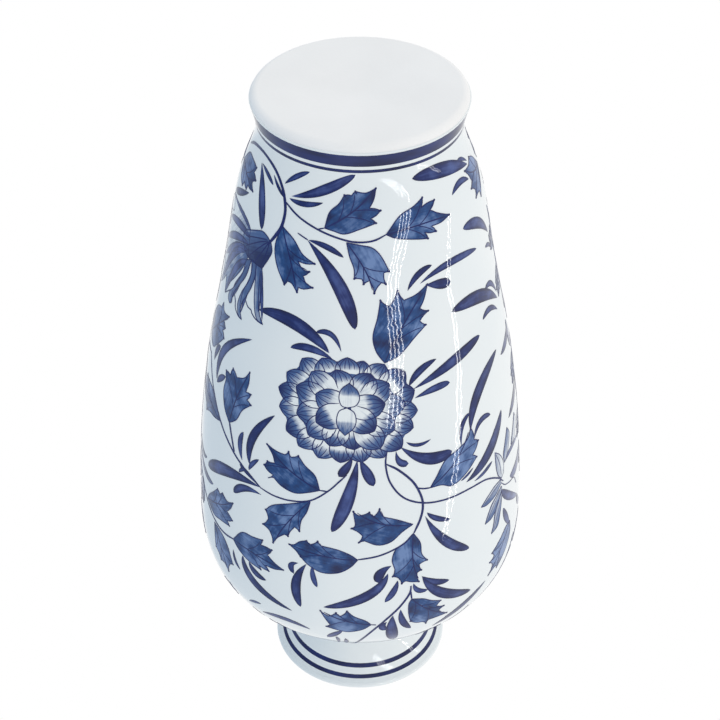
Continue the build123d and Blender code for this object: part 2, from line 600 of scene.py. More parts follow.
def leaf(paint, path, tone):
    """A toothed leaf: a wash, a dark outline, a midrib from its stalk, and a vein towards each tooth."""
    outline, corners = leaf_outline(paint.patch, path)
    stalk = outline[0]
    tip = max((outline[corner] for corner in corners), key=lambda p: (p - stalk).length)
    length = (tip - stalk).length
    grain = (tip - stalk).normalized()

    def along(p):
        return (p - stalk).dot(grain) / length

    def shade(p):
        lengthwise = 0.16 * math.cos(2 * math.pi * along(p))
        sideways = 0.25 * (p - stalk).dot(across(grain)) / length
        return tone + lengthwise - sideways

    paint.wash("leaf", outline, FILM, shade, grain)
    paint.loop(outline, LEAF_OUTLINE_WIDTH)
    middle = sum(outline, Vector((0, 0))) / len(outline)
    rib = quadratic(stalk, stalk.lerp(tip, 0.5).lerp(middle, 0.5), stalk.lerp(tip, 0.93))
    paint.line(rib, RIB_WIDTH)
    for corner in corners[1:]:
        tooth = outline[corner]
        if is_tooth(outline, corner) and (tooth - stalk).length > 0.3 * length:
            tooth_tip(paint, outline, corner)
            if tooth != tip:
                vein(paint, rib, along(tooth) - 0.32, tooth, tip)


# One side of a common leaf: places along it and out from its midrib, and whether it is smooth there.
LEAF_SIDE = [
    (0.18, 0.6, True),
    (0.42, 1.0, True),
    (0.62, 1.08, False),
    (0.62, 0.8, False),
    (0.82, 0.86, False),
    (0.8, 0.5, False),
]


def common_leaf(ends, width):
    """The path of a leaf with two teeth on each side, from a path with its stalk and its tip."""
    base, tip = (place for place, smooth in ends)
    scale = math.radians(1) * radius((base[1] + tip[1]) / 2)
    along = Vector(((tip[0] - base[0]) * scale, tip[1] - base[1]))
    aside = across(along).normalized() * (width / 2)

    def place(u, v):
        step = along * u + aside * v
        return base[0] + step.x / scale, base[1] + step.y

    right = [(place(u, v), smooth) for u, v, smooth in LEAF_SIDE]
    left = [(place(u - 0.05, -v), smooth) for u, v, smooth in reversed(LEAF_SIDE)]
    return [(base, False), *right, (tip, False), *left]


def stem(paint, path, width):
    """A thin line that tapers a little at both ends."""
    flat = [paint.patch.flat(place) for place, smooth in path]
    paint.line(through(flat, 1.0), width, STEM_LIFT, tone=0.55, ends=(0.6, 0.6))


# ---------- the painted pattern

# The front's pattern, which is painted again at the back. Each leaf is a closed path from its stalk.

LEAVES = {
    "foot_left": (
        "-12 37, ~-16 38.8, ~-22 40.2, -32 42.3, -30.6 39.4, -36.8 40.7, -34.6 38, -46 37, ~-39.5 34.2, "
        "-35.5 31.9, -39 29, -30.8 29.9, -32.5 26.5, ~-27 28.6, ~-19 31"),
    "foot_middle": (
        "6 39.7, ~0 40.6, ~-5.5 41.8, ~-9.3 45.5, -12.7 52, -10.2 52.3, -11 57.2, -9 56.4, -6 60.7, "
        "-4 55.2, -1.5 56.6, -0.8 54.4, 2.4 54.3, ~2.6 50, ~4.6 45"),
    "foot_low": (
        "16.5 35, ~12 35.7, ~7 36.4, ~0 34.4, -7.5 32.3, -5 30.6, -10 27.9, -4.6 26.8, -8.2 19.6, "
        "~-3 21.2, 2.4 20.6, 4.2 22.2, 8 22.2, ~10.5 25.5, ~14.8 29"),
    "foot_right": (
        "38 39, ~40.5 47.5, ~38.8 55, 33.8 62.6, 32.4 60.6, ~30 61, 27.4 64, 27 61.6, ~24.5 61.8, "
        "20.4 60.3, ~23.5 59, 25 56.2, 22.2 53.8, ~25.5 53.4, 28 50.6, 20 50, ~26 47.3, ~31 42.5"),
    "under_flower": (
        "-9.6 91.3, ~-6.4 86, ~-5.2 79.5, ~-7.2 71.5, -8.5 64, -12.2 67, -16 60.4, -18.6 65.4, "
        "-29.6 61.2, ~-27.6 67, -25.4 70.6, -29.2 72.7, -25 76, -27.6 78.4, ~-22 82.8, ~-15.5 88.8"),
    "belly_left": (
        "-25 154, ~-29.5 154.6, ~-34 157.2, ~-40 154.6, -45.6 149.8, -43.6 147.6, -47 142.3, -45 140.6, "
        "-43.7 133.8, ~-41.5 138.4, -37 140.6, ~-31.5 143, ~-27.6 149.5"),
    "over_flower": (
        "-18.2 170.6, ~-14.5 173.4, ~-10.4 178, ~-6 179, -1.6 176.4, 0.4 177.3, -0.9 173.6, 2.9 169.8, "
        "~1.6 168, 2.3 160.8, 0.4 163, -3.2 161.3, -4.6 163.8, -6.7 159.9, -8 164.2, ~-13 166.8"),
    "belly_high": (
        "-18.4 175.6, ~-20.8 181.5, ~-21.3 188, -23.3 192.4, -20.4 193.6, -21.2 197.2, -19.6 198.2, "
        "-20.3 203.6, ~-17.5 202.6, -15.6 201.4, -14.2 202.6, -13 198.8, -11.1 197.6, -11.8 193.5, "
        "~-10.9 188, ~-12.3 182.4, ~-15.5 179.6"),
    "belly_bud": (
        "0.8 187, ~3.4 191.3, ~7.5 194.8, ~13 195.7, ~17.5 193, 20.5 189.3, 24.7 184.2, 22.6 183.4, "
        "~20.8 181, 18.4 179.6, 17 181.2, 14.4 178.7, 13.2 180.8, ~8 181.8, ~3.4 184.2"),
    "belly_upright": (
        "17.2 158, ~18.4 164, ~20.4 169.5, 21 175.4, 22.8 173.8, ~24.4 177, 25.2 180, 26.6 179.6, "
        "31 186.8, 32.4 180.8, 35.3 179, 33 174.6, 34.3 170.4, ~31 166, ~23.5 161.6"),
    "belly_right": (
        "14 151.7, ~18 153.8, ~23 155.8, ~28 154.6, 31.4 151.8, 33.7 153.2, 31.6 150.6, ~34 149.6, "
        "35.7 147.6, 34.4 145, 31.2 144.4, ~32.4 140.5, 35 136.8, ~31 138.2, 27.4 138.4, 26 136.3, "
        "25 138.6, 22.2 136.9, ~19.5 141, ~15.8 144.8"),
    "hanging": (
        "55 139, ~51 134.6, ~48.2 128, 44 122.8, 46.4 121.6, 44.6 118, 47.4 118.4, 46.5 108.5, "
        "~49 112.6, 53.4 115.2, 56.4 112.8, 57.6 116.8, 61 117, 60.2 120.6, ~61 127, ~59 134"),
    "shoulder_right": (
        "49.7 199, ~46.5 202.4, ~42 204.8, 36.2 205.9, 37 203.8, 32.8 204.4, 34.4 201.8, 27 200.2, "
        "~30.6 198, 33.4 195.2, 31.5 191.4, 36.4 191.6, 35.4 188.2, ~39.5 189.4, ~45 191"),
    "side_right": (
        "69 194, ~63 197, ~57.5 195.2, 52 193.4, 53.4 191.4, 50.2 188.7, 53.6 186.4, 50 178.6, "
        "~53.4 180.6, 56.5 178.8, 58.2 181.2, 60.2 179.8, ~63 184, ~67 189.6"),
    "shoulder_left": (
        "-17.8 213, ~-22 214.8, ~-25.5 217.8, -28.8 219.8, -27.2 222.4, -30.4 224.4, -28.4 226.2, "
        "-32.4 231.3, ~-28 231, -24.8 230.8, -24.2 233.6, -22.6 231, ~-20 230, -17.8 228, ~-16.9 222, "
        "~-16.8 216"),
    "shoulder_middle": (
        "-3.8 226.4, ~-0.8 229.9, ~4 232, ~7.5 231.2, 11.8 229.4, 10.4 227.4, ~12 223.4, 13.6 218.8, "
        "10.8 221.6, 8.2 218.8, 6.8 221, 4.4 217.2, ~2 220.6, ~-2 223.6"),
    "side_low": (
        "86 116, ~78 117.5, ~73 113, 67 105.4, 69.5 103, 67.4 100.5, 70 98.4, 65.6 93.8, ~71 95, "
        "73.6 92.6, 75 95.6, ~81 99, ~86 107"),
    "side_middle": (
        "60.8 143, ~66 145.2, ~71 146.6, 75.6 149.8, 76.6 146.8, ~81 145, 86.5 141, ~82 137.6, "
        "80 134.4, 76.8 134.6, ~71 134.2, ~65 138.6"),
    "side_foot": (
        "88 31, ~82 36, 76 37.6, 74.4 35, 70 36.4, 69.4 34.2, 63 34.2, ~66 31.6, 63.4 29.8, 67.6 28, "
        "66.6 25.8, ~73 25, ~82 25.6"),
    "side_shoulder": (
        "62.4 201.6, ~57 202.8, ~53.2 206.6, ~51.4 211.4, 50.2 215, 52.2 216.8, 53.6 222.8, 55.6 219.6, "
        "58.4 220.4, 59.4 217.4, 61.8 215.8, ~62.2 209"),
    "far_shoulder": (
        "-66.5 205, ~-67 212, ~-63.5 219, -57.5 224.6, -56.4 222, -51.8 223.6, -54 219, -51.8 215.4, "
        "-54.6 214, -53 210.8, ~-58 208, ~-62.5 205"),
    "far_foot": (
        "-88 33, ~-82 38.5, -77 43, -76 40, -70 40.2, -71.6 37.2, -67.4 35, -70.6 33, -66.6 27.2, "
        "~-73 27.4, -77 25.6, ~-82 27.6"),
}

# How full the wash is in the leaves that stand out as pale or dark.
LEAF_TONES = {
    "foot_middle": 0.28,
    "side_shoulder": 0.3,
    "belly_left": 0.32,
    "under_flower": 0.5,
    "belly_bud": 0.62,
    "foot_right": 0.52,
    "over_flower": 0.58,
    "belly_right": 0.56,
    "hanging": 0.46,
    "far_shoulder": 0.25,
    "far_foot": 0.3,
}

# Leaves where the vase turns away from the front, and on its shoulder: stalk, tip and width.
COMMON_LEAVES = [
    ("18 255.6, 27 263.5", 8), ("31 254.4, 38 244.8", 9), ("47 250.2, 58 258.6", 10),
    ("61 245.4, 56 233.8", 9), ("71 240, 82 249.6", 10), ("-12 255.8, -21 263.8", 8),
    ("-25 254.2, -33 244.4", 9), ("-39 249.4, -49 258.4", 10), ("-54 242.6, -66 251.4", 9),
    ("-66 231.6, -78 238.4", 10), ("80 187, 93 197.6", 11), ("76 190.4, 80 206.6", 10),
    ("88 214.4, 77 224.8", 10), ("92 219.6, 105 227.4", 11), ("90 160.4, 101 168.6", 10),
    ("92 128, 101 138.4", 10), ("93 82, 101 92.6", 9), ("92 70.4, 101 63", 9),
]

# Each blade: its thin end, its middle and its far end, then its width, and where along it that is.
BLADES = {
    "flower_left": [
        ("-20.5 105, -38 99.2, -55 95.8", 5.2, 0.62), ("-20.8 109.2, -29 107.5, -36 107.6", 3.4, 0.62),
        ("-18.8 103.2, -23.6 97.6, -31 94.8", 3.4, 0.5)],
    "flower_high_left": [
        ("-14.4 130.4, -24.4 139, -34.4 139.8", 6, 0.66),
        ("-16.7 128.7, -21 131.2, -26 130.2", 1.7, 0.5), ("-12.8 132, -14 137.4, -17.2 139", 3.4, 0.72)],
    "flower_top": [
        ("0 135, -2.4 141.4, -4.7 148", 4.6, 0.62), ("2.6 134, 4.8 139.2, 7.4 143.6", 4, 0.66),
        ("0.9 135, 4.2 154.6, 9.6 172.4", 6, 0.6)],
    "belly_far_right": [
        ("37 160.2, 54 164, 69 175", 6.6, 0.66), ("36.4 163.8, 44.4 165.6, 49.7 172.2", 3.8, 0.66),
        ("36.8 160, 42 157.2, 47.2 155", 2.2, 0.7), ("43.4 156.4, 45.6 156.6, 47.4 159.2", 1.8, 0.6)],
    "right_hanging": [
        ("42.5 154.6, 41 150.4, 38.1 146.4", 2.2, 0.5), ("42.3 151.5, 41.6 137, 32.6 121.7", 4.2, 0.5),
        ("46.1 152, 47.8 144.6, 46.5 137.8", 2.9, 0.56)],
    "right_low": [
        ("68 126.5, 64.6 109, 47.7 93.7", 4.2, 0.46), ("67.4 127.8, 64.4 123.4, 61 120.2", 3, 0.5),
        ("73.2 121, 72 115.4, 68.8 110.6", 3.2, 0.6)],
    "flower_low_right": [
        ("12.2 87.3, 27.4 77.6, 46 79", 6.4, 0.5), ("10.8 89.8, 20.4 86.8, 28.4 88.8", 3.5, 0.55),
        ("7.4 86.2, 11.6 79.2, 18 79.4", 2.5, 0.62)],
    "foot_long": [
        ("24 41.2, 9.8 56.2, 2 76.2", 6, 0.62), ("23.6 41, 15 42.2, 7.2 45.7", 2.5, 0.55)],
    "foot_low": [
        ("37 27.9, 28 28, 18.6 26", 2.3, 0.5), ("36 26.8, 19.6 21.6, 2.4 13.6", 4.2, 0.62),
        ("42 23.6, 35.6 19.2, 27.4 15.3", 2.2, 0.56)],
    "foot_side": [
        ("63.4 22.4, 55 32.4, 50.2 45", 4.2, 0.6), ("62.4 22.2, 55.4 24, 49.2 26.4", 1.8, 0.56),
        ("40 28.6, 45.4 26, 50.6 22.8", 1.4, 0.5)],
    "left_low": [
        ("-20.4 61.6, -25.6 55.8, -32.6 53.7", 2.9, 0.56),
        ("-26.4 59.9, -42 56.2, -61.6 58.9", 3.4, 0.6), ("-28.8 61.2, -35.6 63, -41.7 64.6", 4.6, 0.66)],
    "foot_left": [
        ("-72 26.4, -51 20.4, -28.4 18.4", 6.4, 0.58), ("-67.8 31, -59.4 28.8, -51 30.9", 2.8, 0.5),
        ("-73 25.4, -66 22, -60 22.8", 1.8, 0.5)],
    "side_left": [
        ("-77.6 60.4, -67 50, -53.4 46", 5, 0.6), ("-76 91.6, -60 80.2, -40.9 77.5", 6.2, 0.6),
        ("-73.6 95.6, -66 90, -59 90.9", 2.9, 0.6), ("-76.6 89, -71 81, -64.4 80.2", 2.6, 0.6),
        ("-79.4 68.4, -75.4 65, -71 63.8", 2, 0.55)],
    "belly_low_left": [
        ("-43.6 134.6, -50 119.2, -65.4 109.7", 6.2, 0.54), ("-45 140.2, -49 133.9, -55.2 135", 3, 0.62),
        ("-38.8 140, -39.6 131, -43.8 126.4", 2.4, 0.66)],
    "belly_far_left": [
        ("-40 159.4, -53 152, -63 138.8", 6.4, 0.56), ("-43.8 161.5, -48.6 160.8, -54 158.7", 2, 0.66),
        ("-37.6 157.2, -40.6 156, -43.6 154.1", 1.3, 0.5)],
    "high_left": [
        ("-22.8 168, -30 184.6, -40.6 196.6", 4.8, 0.64),
        ("-23.5 166.4, -27 171, -32.6 174.7", 2.7, 0.56)],
    "shoulder_left": [
        ("-21.5 201, -29 214.8, -42.2 223.7", 5.4, 0.6),
        ("-21.8 201.4, -26.4 206.8, -32 209.1", 3.4, 0.56),
        ("-18.4 204, -20 208.6, -23.7 210", 2.6, 0.56)],
    "shoulder_middle": [
        ("-12.8 200.4, -11.4 206.4, -8.4 212.2", 3.2, 0.6),
        ("-9.4 195.6, -2.8 207.4, 12.4 216.2", 5.2, 0.56),
        ("-10.6 191.4, -6.9 195, -6.2 200.4", 4.6, 0.62)],
    "over_bud": [
        ("18.4 192.8, 22.2 205.4, 20.7 219.2", 4.6, 0.6), ("16.3 193, 16 199.2, 14.6 204.8", 2.6, 0.56),
        ("21.4 193.4, 24 195.8, 23 200.2", 2.8, 0.62)],
    "shoulder_right": [
        ("44.6 204.4, 39.6 215.8, 24.2 223.7", 4.6, 0.5),
        ("41.6 205.4, 38.6 209.6, 34 210.8", 3.6, 0.52),
        ("49.7 205.4, 48.7 210.8, 46.2 214.2", 1.9, 0.5)],
    "shoulder_top": [
        ("-11.3 221.4, -11.2 232, -13 244", 5.6, 0.64), ("-14 218.4, -15 226.8, -18.4 233.8", 3.3, 0.56),
        ("-9.2 225.4, -7.8 228.6, -9.3 231.6", 3.4, 0.6), ("6 231.4, 8.8 235, 12.2 240", 3.2, 0.62),
        ("8.8 238, 8.2 242, 8.6 248", 1.8, 0.5), ("5.4 239.4, 5.2 243.4, 5.6 248", 2.4, 0.6)],
    "top_right": [
        ("38.6 237, 28 232.6, 18.2 235", 3.2, 0.52), ("44.4 234, 41 231, 37.6 229.4", 1.8, 0.5)],
    "top_left": [
        ("-28 239.4, -38 233.4, -50.4 225.8", 4.4, 0.5)],
    "far_right": [
        ("63.8 180.6, 73 181.8, 85 177.4", 3.8, 0.5), ("71 172.4, 77 174.8, 83 171.4", 2.8, 0.5)],
    "far_left": [
        ("-69 148.4, -76.6 145.4, -85 141", 5.2, 0.6), ("-68.8 115, -76 114.4, -85 111.6", 4.2, 0.6)],
    "far_foot": [
        ("66 36.2, 75 40.2, 86 44.6", 3.2, 0.6)],
    "crown_right": [
        ("20 257.6, 29 261.8, 38 261.4", 3, 0.6), ("38 252.8, 43 247, 45 240.4", 3.2, 0.6),
        ("58 247.4, 68 252.6, 72 259.6", 3.4, 0.6), ("9 253, 9.6 257.6, 13 263", 2.8, 0.6)],
    "crown_left": [
        ("-14 256.6, -25 261.4, -36 261.8", 3, 0.6), ("-31 252.4, -40 246.4, -45 238.6", 3.4, 0.6),
        ("-2 251.6, -3 257, -8 263", 2.8, 0.6), ("-58 239.4, -70 243.6, -80 250", 3.4, 0.6)],
    "side_high": [
        ("92 224, 91 234, 96 244.6", 4, 0.6), ("95 212, 101 207, 104 199.6", 3.6, 0.6),
        ("84 188, 92 184.6, 99 186.4", 3, 0.6)],
    "side_low": [
        ("91 131, 86.6 137, 84.4 145", 3.2, 0.6), ("92 126, 96 118.4, 96.4 108.6", 4, 0.6),
        ("93 84, 90 94.6, 92.4 105.6", 3.6, 0.6)],
}

# Each stem: its path and its width.
STEMS = {
    "curl": [
        ("-9.6 131, ~-9 138, ~-10.5 147, ~-15 155.5, ~-22 160.6, ~-31 163, ~-42 163.8, ~-50 165.4, "
         "~-57 170.6, -61 176", 0.8),
        ("-9.3 137.8, ~-13.5 141.4, ~-18.6 148.6, ~-21.4 156.6, ~-22 162.6, ~-21 168.6, "
         "-18.6 175.4", 1.0),
        ("-20 152.2, ~-22.4 153.4, -25 154", 0.7)],
    "bud_stalk": [
        ("-18.4 175.6, ~-14.6 180.4, ~-7 184.8, 0.8 186.8", 0.8)],
    "right_branch": [
        ("4.6 142.5, ~7.4 146.4, ~11 151.4, ~17 157.6, ~24 160.4, ~31 161.1, ~37 160.2", 0.7),
        ("11.2 151.6, 14 151.7", 0.6)],
    "far_branch": [
        ("37 160, ~46 154.6, ~52 150.6, ~60 143.8, ~68 135.4, ~73 129.8, 79 122", 1.0),
        ("50.6 151, ~52.6 145, 54.9 138.6", 1.0)],
    "side_branch": [
        ("49.6 199, ~55 200.6, ~61 200.2, ~68 197, ~74 192, 80 187", 0.9)],
    "shoulder_stem": [
        ("-17.5 205, ~-17 209.4, ~-13.6 216.4, ~-8.4 224.4, ~-3.8 232.4, ~-0.2 241, 3.2 251", 1.0),
        ("-17.4 208, -17.8 213", 0.7), ("-5.6 226.8, -3.8 226.4", 0.6)],
    "crown": [
        ("3.2 251, ~9 254.4, ~20 255.8, ~32 254.4, ~46 250.4, ~60 245.6, ~72 239, ~82 229.4, ~88 217, "
         "90 205", 0.9),
        ("3.2 251, ~-3 254.8, ~-14 256, ~-27 253.8, ~-41 248.6, ~-55 242, ~-66 231.6, -73 219.4", 0.9)],
    "side": [
        ("90 205, ~91 190, ~88 174, ~89.6 158, ~93 142, ~90.6 126, 79 122", 0.9),
        ("95 52, ~92 64, ~91.6 76, 94 88", 0.8)],
    "foot_stem": [
        ("-12 37, ~-6 39, ~2 39.4, ~10 38.2, ~20 36, ~30 33.2, ~37 30.4, 39 29.6", 0.75),
        ("16.5 35, 20 36", 0.5), ("24 41, 29.4 39.4", 0.5)],
    "foot_sweep": [
        ("45 49.4, ~41.4 44.4, ~38.6 39.6, ~37.8 34.6, ~38.8 30.6, ~42.6 25.6, ~50 20.8, ~60 18.2, "
         "~70 18.4, ~80 20.6, 88 24", 1.3)],
}


def paint_leaves(side, turn):
    for number, (name, text) in enumerate(LEAVES.items()):
        path = read_path(text, turn)
        paint = Paint(path)
        leaf(paint, path, LEAF_TONES.get(name, 0.46 + 0.05 * (number % 3)))
        paint.make(f"leaf_{side}_{name}")


def paint_common_leaves(side, turn):
    for number, (text, width) in enumerate(COMMON_LEAVES):
        path = common_leaf(read_path(text, turn), width)
        paint = Paint(path)
        leaf(paint, path, 0.42 + 0.06 * (number % 3))
        paint.make(f"leaf_{side}_common_{number}")


def paint_blades(side, turn):
    for name, blades in BLADES.items():
        paths = [read_path(text, turn) for text, width, peak in blades]
        paint = Paint(*paths)
        for number, (path, (text, width, peak)) in enumerate(zip(paths, blades)):
            blade(paint, path, width, peak, 0.42 + 0.06 * ((number + len(name)) % 3))
        paint.make(f"blades_{side}_{name}")


def paint_stems(side, turn):
    for name, stems in STEMS.items():
        paths = [read_path(text, turn) for text, width in stems]
        paint = Paint(*paths)
        for path, (text, width) in zip(paths, stems):
            stem(paint, path, width)
        paint.make(f"stem_{side}_{name}")


# ---------- flowers

# The middle of the chrysanthemum, its lowest place and its highest.
FLOWER_SPAN = "4.6 111.4, 4.6 88.6, 4.6 136.6"

# Each ring of petals, from the outside in: the tips, then where its petals start and where their blue
# starts, as shares of the way out from the centre.
RINGS = [
    ("-21.5 115, -19.5 122.5, -14.8 131, -8.5 134.3, -0.8 136, 7 136.6, 14.8 135.6, 22.3 132, "
     "27.4 126.5, 31 116.5, 32 108, 29 100, 23 92, 15 90, 5 88.6, -1.5 90, -9.5 92, -17.5 96.5, "
     "-20.8 105.5", 0.58, 0.76),
    ("-17 110.5, -12.5 121.8, -7.2 129.8, 2 130, 10.8 129, 18.8 125.6, 23.7 117, 24.6 104.8, 18.9 96.8, "
     "9.2 94.2, -4.2 95.6, -11 100.5", 0.42, 0.66),
    ("-9.3 109.3, -5.2 121.4, 16 119, 16.6 106", 0.1, 0.5),
]

# The two round petals at the heart, which start where they meet.
HEART = [
    "4.8 110.7, ~7.6 112.4, ~8.5 116.4, ~7.9 120, 5.4 123.4, ~2.3 120, ~1.4 116.4, ~2.2 112.6",
    "4.6 110.6, ~6.8 109.8, ~7.8 106.4, ~7 102.6, 4.1 99.7, ~1 102.8, ~0.2 106.6, ~1.6 109.6",
]

# Places along a petal and out from its middle.
PETAL_EDGE = [(0, 0.7), (0.35, 1.04), (0.7, 0.9), (0.9, 0.46)]
PETAL_LINES = (-0.5, -0.17, 0.17, 0.5)
PETAL_WIDEST = 11
PETAL_TONES = (0.3, 0.4, 0.5, 0.7)
HEART_LIFT = 0.36


def petal(paint, base, tip, width, lift, blue_from, deep):
    """White at its base and blue towards its tip, with a dark edge, and fine lines from its tip."""
    along = tip - base
    aside = across(along).normalized() * (width / 2)
    edges = []
    for sign in (1, -1):
        side = [base + along * u + aside * (v * sign) for u, v in PETAL_EDGE]
        edges.append(through([*side, tip], 0.8))

    def shade(p):
        blue = ((p - base).dot(along) / along.length_squared - blue_from) / (1 - blue_from)
        return (0.35 + deep) * min(1, blue) ** 0.6 if blue > 0 else 0

    paint.wash("petal", edges[0] + edges[1][-2::-1], lift, shade, along.normalized(), spacing=1.3)
    for edge in edges:
        paint.line(edge, 0.42, lift + 0.03, ends=(0.3, 1))
    for v in PETAL_LINES:
        start = base + along * 0.95 + aside * (v * 0.3)
        end = base + along * (blue_from + 0.03) + aside * (v * 1.25)
        middle = start.lerp(end, 0.5) + aside * (v * 0.35)
        paint.line(through([start, middle, end], 0.8), 0.34, lift + 0.03, tone=0.45, ends=(1, 0.2))


def ring_of_petals(paint, centre, tips, start, blue_start, lift):
    """Petals from a share of the way out from the centre to their tips, overlapping a little."""
    rng = random.Random(SEED + len(tips))
    blue_from = (blue_start - start) / (1 - start)
    for i, tip in enumerate(tips):
        width = ((tip - tips[i - 1]).length + (tips[(i + 1) % len(tips)] - tip).length) / 2
        width = min(width * 1.08, PETAL_WIDEST)
        base = centre.lerp(tip, start)
        petal(paint, base, tip, width, lift + 0.02 * (i % 3), blue_from, rng.choice(PETAL_TONES))


def backing(paint, centre, tips, lift):
    """The dark wash behind a ring of petals, which shows between their tips."""
    outline = through([centre.lerp(tip, 0.93) for tip in [*tips, tips[0]]], 1.2)[:-1]
    paint.wash("petal", outline, lift, lambda p: 0.62, Vector((1, 0)))


def heart_petal(paint, path):
    """A round petal at the heart, white where it starts and blue over its far half."""
    outline, corners = closed_line(paint.patch, path)
    base = outline[0]
    along = outline[corners[1]] - base
    aside = across(along).normalized() * 3

    def shade(p):
        u = (p - base).dot(along) / along.length_squared
        return 0.3 + 0.7 * (u - 0.5) if u > 0.5 else 0

    paint.wash("petal", outline, HEART_LIFT, shade, along.normalized(), spacing=1.1)
    paint.loop(outline, 0.4, HEART_LIFT + 0.03)
    for v in (-0.6, 0, 0.6):
        spine = [base + along * 0.92 + aside * (v * 0.2), base + along * 0.62 + aside * v]
        paint.line(spine, 0.3, HEART_LIFT + 0.03, tone=0.4)


def paint_chrysanthemum(side, turn):
    span = read_path(FLOWER_SPAN, turn)
    for number, (text, start, blue_start) in enumerate(RINGS):
        paint = Paint(span)
        centre = paint.patch.flat(span[0][0])
        tips = [paint.patch.flat(place) for place, smooth in read_path(text, turn)]
        lift = 0.05 + 0.1 * number
        if number < 2:
            backing(paint, centre, tips, lift)
        ring_of_petals(paint, centre, tips, start, blue_start, lift + 0.025)
        paint.make(f"flower_{side}_petals_{number}")
    paint = Paint(span)
    for text in HEART:
        heart_petal(paint, read_path(text, turn))
    paint.make(f"flower_{side}_heart")


# Lily petals: outline, shade at the start of the path and shade at its far end.
LILIES = {
    "right_back": [
        ("57 60, ~61 68, ~67 76, ~72 82, 74.6 87.8, ~76.6 81, ~80 84.6, 84.8 89.4, ~83.6 81, ~86 77.6, "
         "89.6 76.4, ~85 72, ~86.4 67.4, 90.4 65, ~86 61, ~84.6 58, 87 54.4, ~80 51.4, ~82 48, "
         "86.4 46.4, ~77 45.2, ~66 46, 58 49", 0.6, 0.35)],
    "right": [
        ("46.9 60.4, ~45.6 67, ~46 75, ~45.6 80.4, 43 84.4, ~46.8 83.4, ~48.9 79, ~50 72, "
         "50.6 60.6", 0.7, 0.5),
        ("50.8 60.6, ~50.7 66, ~52.4 72, ~55 77.6, ~57.2 81.6, ~57.8 85.6, 56 89, ~58.9 88, ~60.4 84, "
         "~58.8 78, ~55.4 71.6, ~53.6 66, 54 60", 0.72, 0.5),
        ("54.4 60.4, ~57 69, ~61 75.4, ~64.6 80.8, ~65.8 84, ~66 87, 67.6 88.2, ~69.6 86.6, ~69 83.4, "
         "~65.8 79.6, ~62.6 74.4, ~60 69.8, 58 62", 0.7, 0.5),
        ("43.2 47.8, ~42 51, ~43.2 54.4, 46.8 60.6, ~52 60.6, ~58.4 60, 63.4 55.6, ~62 51, 58.4 48.8, "
         "~53 46.5, ~49 45.3, ~45.6 46.2", 0.78, 0.6)],
    "left": [
        ("-59 173.4, ~-55 173.3, ~-50.5 175.4, -46.8 178.2, ~-50 179.5, ~-55 178.6, "
         "-59.2 175.6", 0.25, 0.5),
        ("-59.4 177.4, ~-56 179.5, ~-52.4 182.4, ~-50.3 186, -48.8 189.6, ~-52.8 189.2, ~-56.4 185.4, "
         "-59.6 178.8", 0.25, 0.5),
        ("-59.6 180.6, ~-56.4 184.6, ~-54.6 189.4, ~-53.9 194, -52.4 198.5, ~-56.4 197.4, ~-58 192, "
         "-59.2 186", 0.25, 0.5),
        ("-59.6 173, ~-57.4 169.6, ~-56.3 164, -56 155.8, ~-59.4 160, ~-61.6 166, "
         "-61.4 171.4", 0.12, 0.42),
        ("-62.6 167, ~-61.9 162.4, ~-63.8 157, -66.4 151.2, ~-68.2 156, -66 163", 0.3, 0.5),
        ("-69.4 163.4, ~-71.6 159.4, -75.8 152, ~-77.6 157, -74 163", 0.3, 0.45)],
}

# Darker strokes in the lilies, as in BLADES.
LILY_BLADES = {
    "right": [
        ("56.4 62, 66.6 70.8, 74.4 87.8", 3.4, 0.5), ("60 60, 71 67, 84.6 89", 3.6, 0.5),
        ("58 58, 70 62.8, 86 76.4", 4.2, 0.45), ("58 55, 72 58.6, 88 69", 3.6, 0.45),
        ("57 52, 70 51.6, 86 57", 3.8, 0.45), ("57.6 49.4, 68 45.8, 86 46.6", 2.2, 0.4),
        ("47 62, 45.4 72, 43.6 83", 1.8, 0.5), ("52 62, 54.4 73, 57.4 87", 1.8, 0.5),
        ("56.6 63, 61.6 75, 67.4 87", 2, 0.5), ("62 58, 72 64, 80.6 78", 2.2, 0.5)],
    "left": [
        ("-60.6 191.4, -62.8 198.6, -66.2 206.6", 3.6, 0.5),
        ("-59.4 179.6, -65.4 188.8, -77 200.6", 4.4, 0.45),
        ("-62.4 166.6, -70 165.4, -82 168", 2.6, 0.4), ("-67 179, -75 181, -85 177", 6, 0.5)],
}

# Fine lines in the lilies: path and width.
LILY_LINES = {
    "right": [
        ("43 84.4, ~47 84.1, ~50 82.6, 50.6 81.5, ~53 81.3, 55.4 79", 0.5),
        ("56 89, ~59 88.7, ~61.8 86.8, ~62.6 84.2, 64 82.2", 0.5),
        ("69.2 83, ~72 85.6, 74.4 87.8", 0.45), ("44 48.4, ~45.2 53, 48 60", 0.5),
        ("44.4 48.2, ~47.4 53, 52 60", 0.5), ("44.8 48, ~49.6 52.4, 56 59", 0.5),
        ("45.2 47.8, ~51.4 51, 60 56.6", 0.5), ("45.6 47.4, ~52.4 49.4, 61 52.6", 0.5),
        ("47.6 62, ~47.4 71, 46.2 80", 0.5), ("53 61, ~54 69, ~57.6 76.4, 58.6 84", 0.45),
        ("57 64, ~61 71, ~65.4 78, 67 85", 0.45)],
    "left": [
        ("-59.4 175.6, ~-62.4 179.4, ~-66.4 181.8, ~-71.4 184.4, -74.6 191", 0.5),
        ("-58.4 174.2, ~-53 175.8, -48.4 178", 0.4), ("-58.6 178.6, ~-54 183, -50 189", 0.4),
        ("-59 183, ~-56.6 190, -53.4 198", 0.4), ("-59.6 171, ~-58.6 164, -56.6 157.4", 0.4)],
}


